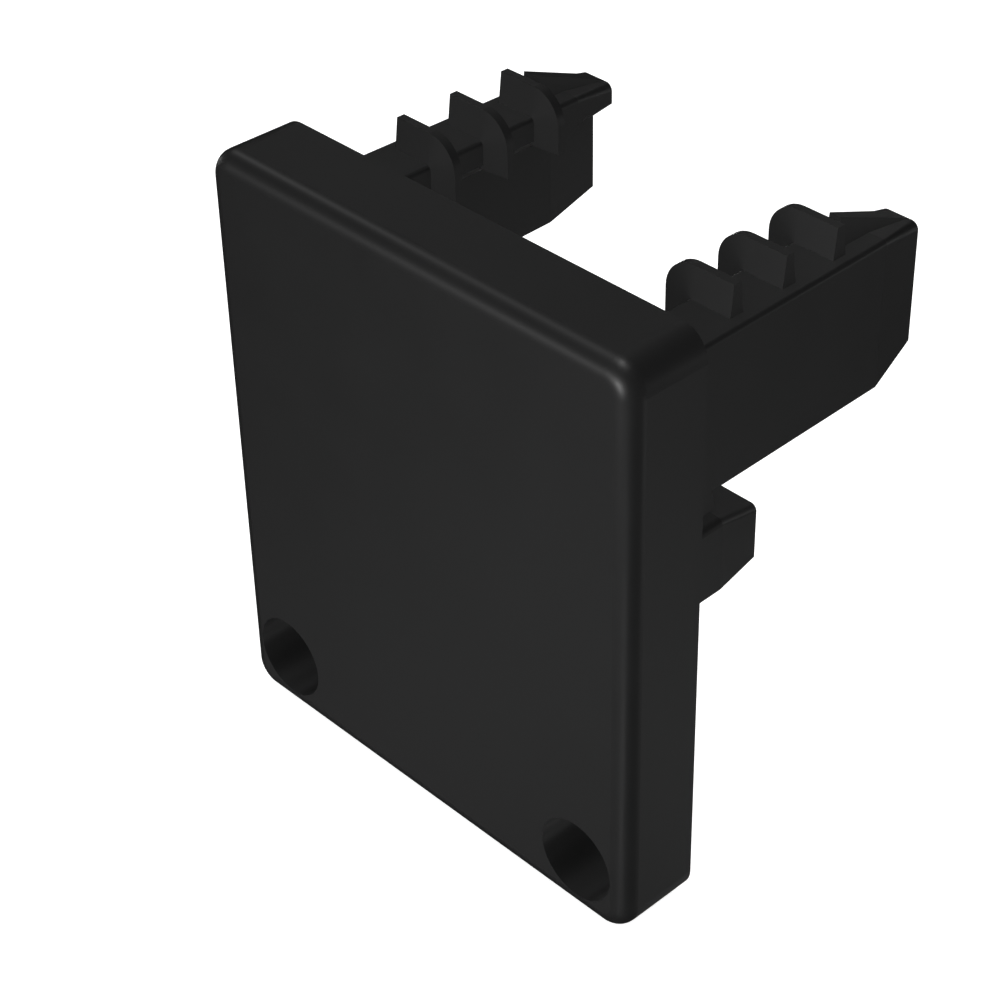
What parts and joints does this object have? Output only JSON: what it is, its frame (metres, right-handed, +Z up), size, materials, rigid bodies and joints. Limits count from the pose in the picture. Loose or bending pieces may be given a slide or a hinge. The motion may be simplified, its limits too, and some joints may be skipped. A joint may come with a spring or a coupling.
{
  "type": "profile end cap",
  "caption": "Moulded end cap for a mounting rail: a flat cover plate with screw holes, finned press-in legs and locating lugs behind it.",
  "frame": {"origin": "middle of the plate's back face, which seats on the cut end of the rail", "axes": "+Z up the plate, +Y out of the plate's back, along the legs into the rail; the cap is symmetric about the YZ plane"},
  "size_m": [0.036, 0.0287, 0.042],
  "materials": {
    "moulded_plastic": "satin black moulded plastic"
  },
  "bodies": {
    "root": {"end_cap": "moulded_plastic"}
  },
  "joints": []
}
